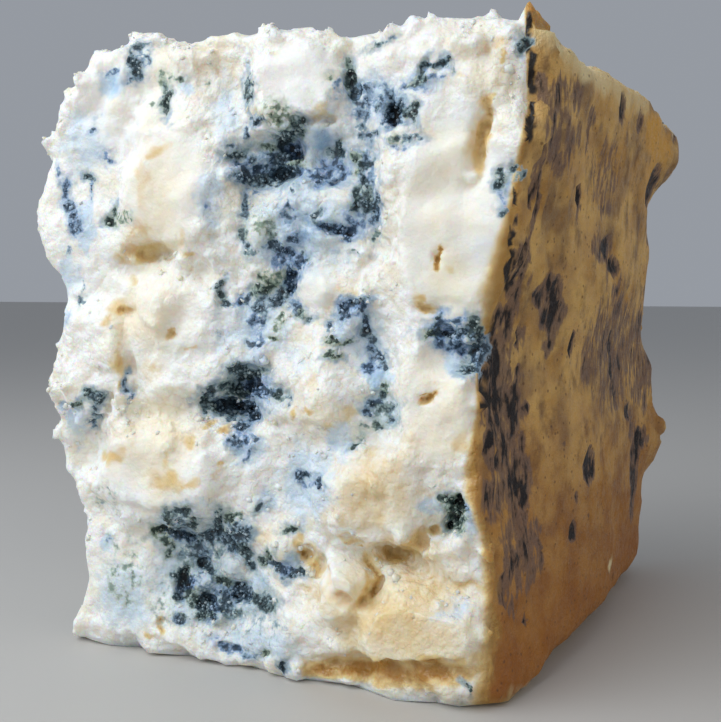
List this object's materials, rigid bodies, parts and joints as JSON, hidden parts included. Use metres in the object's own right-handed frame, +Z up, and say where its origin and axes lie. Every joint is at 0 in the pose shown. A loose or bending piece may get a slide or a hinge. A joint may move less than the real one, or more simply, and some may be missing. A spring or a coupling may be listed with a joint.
{
  "type": "blue cheese wedge",
  "caption": "Wedge of blue-veined cheese with one smooth rind side, crumbled broken faces, mouldy hollows and a flat base.",
  "frame": {"origin": "middle of the wedge's box on the flat base, at the lowest level", "axes": "+Z up; the rind side looks along +X, the broken nose opposite it looks along -X, and the crumbled face that shows in the picture looks along -Y"},
  "size_m": [0.0616, 0.0618, 0.0645],
  "materials": {
    "cheese_paste": "moist ivory paste with bluish-white areas, crumbled and slightly glistening",
    "blue_mould": "damp blue-black to blue-green mould grains, glinting where wet",
    "paste_crumb": "small moist crumbs of the same paste"
  },
  "bodies": {
    "root": {"cheese_wedge": "cheese_paste"}
  },
  "joints": []
}
